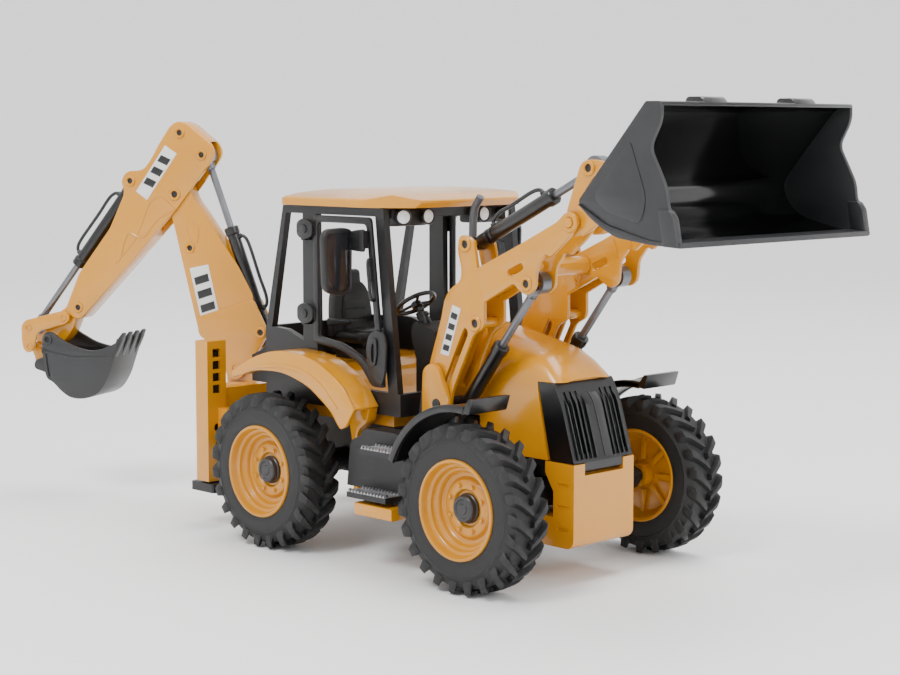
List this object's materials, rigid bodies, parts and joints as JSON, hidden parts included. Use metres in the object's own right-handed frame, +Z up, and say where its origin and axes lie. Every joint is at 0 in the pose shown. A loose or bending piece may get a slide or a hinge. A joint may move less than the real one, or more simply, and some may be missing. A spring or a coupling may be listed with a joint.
{
  "type": "toy backhoe loader",
  "caption": "Toy wheeled digger with a tilting front loader bucket on lift arms, an open cab with opening doors and a swinging rear digging arm with its own bucket",
  "frame": {"origin": "bottom centre of the whole machine's bounding box, on the ground", "axes": "+X towards the loader bucket, +Y towards the machine's left side, +Z up"},
  "size_m": [0.567, 0.174, 0.262],
  "materials": {
    "paint": "glossy yellow-orange",
    "black": "satin black",
    "rubber": "matt ribbed",
    "steel": "bright rod",
    "grey": "dark grey satin"
  },
  "bodies": {
    "base": {"chassis": "black", "front_box": "paint", "hood": "paint", "grille": "black", "exhaust_pipe": "grey", "cab_frame": "black", "roof": "paint", "lamp_bar": "black", "cab_floor": "paint", "seat_base": "black", "seat": "black", "steering_column": "black", "rear_housing": "black", "rear_axle": "grey", "front_axle": "grey", "rear_frame": "paint", "rear_fender_left": "paint", "rear_fender_right": "paint", "front_fender_left": "black", "front_fender_right": "black", "steps_left": "black", "steps_right": "black"},
    "front_wheel_left": {"front_rim_left": "paint", "front_tyre_left": "rubber"},
    "front_wheel_right": {"front_rim_right": "paint", "front_tyre_right": "rubber"},
    "rear_wheel_left": {"rear_rim_left": "paint", "rear_tyre_left": "rubber"},
    "rear_wheel_right": {"rear_rim_right": "paint", "rear_tyre_right": "rubber"},
    "steering_wheel": {"steering_wheel": "black"},
    "door_left": {"door_left": "black", "mirror_left": "black"},
    "door_right": {"door_right": "black", "mirror_right": "black"},
    "loader_arms": {"loader_arm_left": "paint", "loader_arm_right": "paint", "arm_cross_tube": "paint"},
    "loader_bucket": {"hitch_carriage": "paint", "loader_bucket": "grey"},
    "lift_barrel_left": {"lift_barrel_left": "black"},
    "lift_rod_left": {"lift_rod_left": "steel"},
    "lift_barrel_right": {"lift_barrel_right": "black"},
    "lift_rod_right": {"lift_rod_right": "steel"},
    "tilt_barrel_left": {"tilt_barrel_left": "black"},
    "tilt_rod_left": {"tilt_rod_left": "steel"},
    "tilt_barrel_right": {"tilt_barrel_right": "black"},
    "tilt_rod_right": {"tilt_rod_right": "steel"},
    "kingpost": {"kingpost": "paint"},
    "boom": {"boom": "paint"},
    "dipper": {"dipper": "paint"},
    "dipper_barrel": {"dipper_barrel": "black"},
    "dipper_rod": {"dipper_rod": "steel"},
    "backhoe_bucket": {"backhoe_bucket": "grey"},
    "bucket_lever": {"bucket_lever": "paint"},
    "bucket_link": {"bucket_link": "paint"},
    "bucket_barrel": {"bucket_barrel": "black"},
    "bucket_rod": {"bucket_rod": "steel"},
    "stabilizer_left": {"stabilizer_leg_left": "black"},
    "stabilizer_right": {"stabilizer_leg_right": "black"}
  },
  "joints": [
    {"name": "front_wheel_left_spin", "type": "hinge", "parent": "base", "child": "front_wheel_left", "pos_m": [0.14125, 0.074, 0.046], "axis": [0, 1, 0], "continuous": true},
    {"name": "front_wheel_right_spin", "type": "hinge", "parent": "base", "child": "front_wheel_right", "pos_m": [0.14125, -0.074, 0.046], "axis": [0, 1, 0], "continuous": true},
    {"name": "rear_wheel_left_spin", "type": "hinge", "parent": "base", "child": "rear_wheel_left", "pos_m": [-0.02255, 0.074, 0.046], "axis": [0, 1, 0], "continuous": true},
    {"name": "rear_wheel_right_spin", "type": "hinge", "parent": "base", "child": "rear_wheel_right", "pos_m": [-0.02255, -0.074, 0.046], "axis": [0, 1, 0], "continuous": true},
    {"name": "steering_wheel_turn", "type": "hinge", "parent": "base", "child": "steering_wheel", "pos_m": [0.02144, 0, 0.1428], "axis": [-0.5736, 0, 0.8192], "continuous": true},
    {"name": "door_left_hinge", "type": "hinge", "parent": "base", "child": "door_left", "pos_m": [-0.01256, 0.0572, 0.16], "axis": [0, 0, 1], "range_deg": [0, 75]},
    {"name": "door_right_hinge", "type": "hinge", "parent": "base", "child": "door_right", "pos_m": [-0.01256, -0.0572, 0.16], "axis": [0, 0, -1], "range_deg": [0, 75]},
    {"name": "loader_lift", "type": "hinge", "parent": "base", "child": "loader_arms", "pos_m": [0.08794, 0, 0.0935], "axis": [0, 1, 0], "range_deg": [0, 65]},
    {"name": "loader_crowd", "type": "hinge", "parent": "loader_arms", "child": "loader_bucket", "pos_m": [0.18274, 0, 0.198], "axis": [0, -1, 0], "range_deg": [-10, 50]},
    {"name": "lift_barrel_left_pivot", "type": "hinge", "parent": "base", "child": "lift_barrel_left", "pos_m": [0.08245, 0.033, 0.073], "axis": [0, 1, 0], "range_deg": [-0.5, 57.05]},
    {"name": "lift_rod_left_slide", "type": "slide", "parent": "lift_barrel_left", "child": "lift_rod_left", "axis": [0.6061, 0, 0.7954], "range_m": [-0.01658, 0.0002]},
    {"name": "lift_barrel_right_pivot", "type": "hinge", "parent": "base", "child": "lift_barrel_right", "pos_m": [0.08245, -0.033, 0.073], "axis": [0, 1, 0], "range_deg": [-0.5, 57.05]},
    {"name": "lift_rod_right_slide", "type": "slide", "parent": "lift_barrel_right", "child": "lift_rod_right", "axis": [0.6061, 0, 0.7954], "range_m": [-0.01658, 0.0002]},
    {"name": "tilt_barrel_left_pivot", "type": "hinge", "parent": "loader_arms", "child": "tilt_barrel_left", "pos_m": [0.10615, 0.033, 0.1834], "axis": [0, -1, 0], "range_deg": [-2.08, 8.38]},
    {"name": "tilt_rod_left_slide", "type": "slide", "parent": "tilt_barrel_left", "child": "tilt_rod_left", "axis": [0.8963, 0, 0.4435], "range_m": [-0.0224, 0.00464]},
    {"name": "tilt_barrel_right_pivot", "type": "hinge", "parent": "loader_arms", "child": "tilt_barrel_right", "pos_m": [0.10615, -0.033, 0.1834], "axis": [0, -1, 0], "range_deg": [-2.08, 8.38]},
    {"name": "tilt_rod_right_slide", "type": "slide", "parent": "tilt_barrel_right", "child": "tilt_rod_right", "axis": [0.8963, 0, 0.4435], "range_m": [-0.0224, 0.00464]},
    {"name": "backhoe_swing", "type": "hinge", "parent": "base", "child": "kingpost", "pos_m": [-0.11256, 0, 0.06], "axis": [0, 0, 1], "range_deg": [-115, 65]},
    {"name": "boom_lift", "type": "hinge", "parent": "kingpost", "child": "boom", "pos_m": [-0.13385, -0.00993, 0.0915], "axis": [0.4226, -0.9063, 0], "range_deg": [-5, 30]},
    {"name": "dipper_reach", "type": "hinge", "parent": "boom", "child": "dipper", "pos_m": [-0.17301, -0.02819, 0.2042], "axis": [-0.4226, 0.9063, 0], "range_deg": [-5, 40]},
    {"name": "dipper_barrel_pivot", "type": "hinge", "parent": "boom", "child": "dipper_barrel", "pos_m": [-0.11754, -0.00232, 0.1155], "axis": [-0.4226, 0.9063, 0], "range_deg": [-0.86, 3.4]},
    {"name": "dipper_rod_slide", "type": "slide", "parent": "dipper_barrel", "child": "dipper_rod", "axis": [-0.3071, -0.1432, 0.9408], "range_m": [-0.02132, 0.00284]},
    {"name": "backhoe_bucket_curl", "type": "hinge", "parent": "dipper", "child": "backhoe_bucket", "pos_m": [-0.2572, -0.06745, 0.1058], "axis": [-0.4226, 0.9063, 0], "range_deg": [-10, 50]},
    {"name": "bucket_lever_pivot", "type": "hinge", "parent": "dipper", "child": "bucket_lever", "pos_m": [-0.24941, -0.06381, 0.1205], "axis": [-0.4226, 0.9063, 0], "range_deg": [-6.94, 32.7]},
    {"name": "bucket_link_pivot", "type": "hinge", "parent": "bucket_lever", "child": "bucket_link", "pos_m": [-0.27388, -0.07523, 0.0995], "axis": [-0.4226, 0.9063, 0], "range_deg": [-19.2, 4.24]},
    {"name": "bucket_barrel_pivot", "type": "hinge", "parent": "dipper", "child": "bucket_barrel", "pos_m": [-0.20282, -0.04209, 0.2126], "axis": [-0.4226, 0.9063, 0], "range_deg": [-1.52, 5.6]},
    {"name": "bucket_rod_slide", "type": "slide", "parent": "bucket_barrel", "child": "bucket_rod", "axis": [-0.561, -0.2616, -0.7854], "range_m": [-0.01178, 0.00251]},
    {"name": "stabilizer_left_slide", "type": "slide", "parent": "base", "child": "stabilizer_left", "axis": [0, 0, -1], "range_m": [0, 0.021]},
    {"name": "stabilizer_right_slide", "type": "slide", "parent": "base", "child": "stabilizer_right", "axis": [0, 0, -1], "range_m": [0, 0.021]}
  ],
  "couplings": [
    {"joint": "lift_barrel_left_pivot", "follows": "loader_lift", "ratio": 0.87},
    {"joint": "lift_rod_left_slide", "follows": "loader_lift", "m_per_rad": -0.014439},
    {"joint": "lift_barrel_right_pivot", "follows": "loader_lift", "ratio": 0.87},
    {"joint": "lift_rod_right_slide", "follows": "loader_lift", "m_per_rad": -0.014439},
    {"joint": "tilt_barrel_left_pivot", "follows": "loader_crowd", "ratio": 0.1575},
    {"joint": "tilt_rod_left_slide", "follows": "loader_crowd", "m_per_rad": -0.025439},
    {"joint": "tilt_barrel_right_pivot", "follows": "loader_crowd", "ratio": 0.1575},
    {"joint": "tilt_rod_right_slide", "follows": "loader_crowd", "m_per_rad": -0.025439},
    {"joint": "dipper_barrel_pivot", "follows": "dipper_reach", "ratio": 0.0725},
    {"joint": "dipper_rod_slide", "follows": "dipper_reach", "m_per_rad": -0.030252},
    {"joint": "bucket_lever_pivot", "follows": "backhoe_bucket_curl", "ratio": 0.644},
    {"joint": "bucket_link_pivot", "follows": "backhoe_bucket_curl", "ratio": -0.374},
    {"joint": "bucket_barrel_pivot", "follows": "backhoe_bucket_curl", "ratio": 0.102},
    {"joint": "bucket_rod_slide", "follows": "backhoe_bucket_curl", "m_per_rad": -0.013264}
  ]
}
